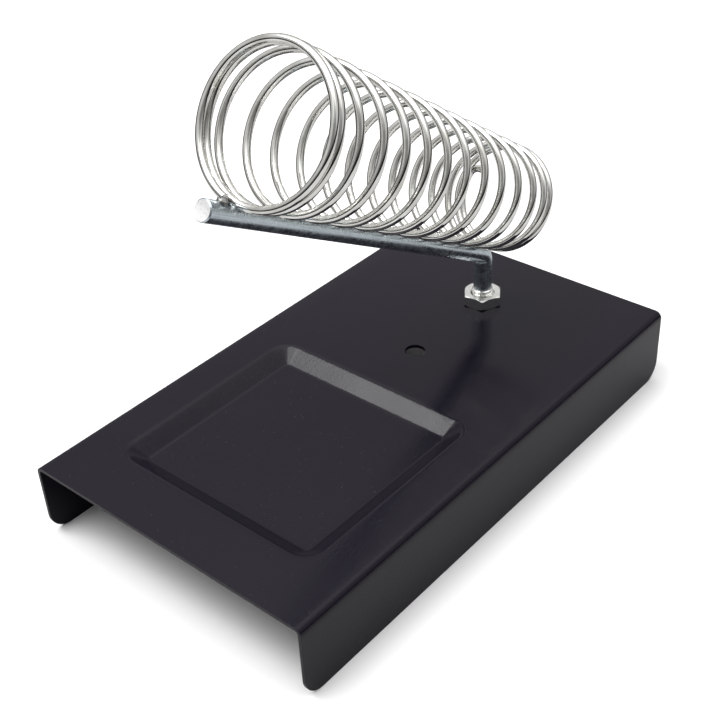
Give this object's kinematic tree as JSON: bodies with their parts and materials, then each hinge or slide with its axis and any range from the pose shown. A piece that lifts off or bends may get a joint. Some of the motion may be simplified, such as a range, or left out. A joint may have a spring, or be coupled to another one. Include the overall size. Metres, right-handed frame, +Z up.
{
  "type": "soldering iron stand",
  "caption": "Folded sheet-steel bench stand with a pressed tray and a rising wire coil on a bent rod that holds a soldering iron.",
  "frame": {"origin": "middle of the base's footprint, on the surface that the stand rests on", "axes": "+Z up, +Y to the back along the base's length, +X to the right; the coil's mouth faces the front, -Y"},
  "size_m": [0.088, 0.15, 0.1255],
  "materials": {
    "black_coat": "semi-gloss black powder coat",
    "rod_steel": "blued zinc plating over drawn steel",
    "coil_plating": "bright nickel plating",
    "weld_metal": "plated weld bead",
    "nut_zinc": "bright zinc plating"
  },
  "bodies": {
    "base": {"base_plate": "black_coat"},
    "holder": {"holder_rod": "rod_steel", "holder_coil": "coil_plating", "coil_welds": "weld_metal"},
    "upper_nut": {"upper_nut": "nut_zinc"},
    "lower_nut": {"lower_nut": "nut_zinc"}
  },
  "joints": [
    {"name": "holder_swivel", "type": "hinge", "parent": "base", "child": "holder", "pos_m": [0, 0.0505, 0.021], "axis": [0, 0, 1], "continuous": true},
    {"name": "upper_nut_turn", "type": "hinge", "parent": "holder", "child": "upper_nut", "pos_m": [0, 0.0505, 0.02315], "axis": [0, 0, 1], "continuous": true},
    {"name": "lower_nut_turn", "type": "hinge", "parent": "holder", "child": "lower_nut", "pos_m": [0, 0.0505, 0.01885], "axis": [0, 0, 1], "continuous": true}
  ]
}
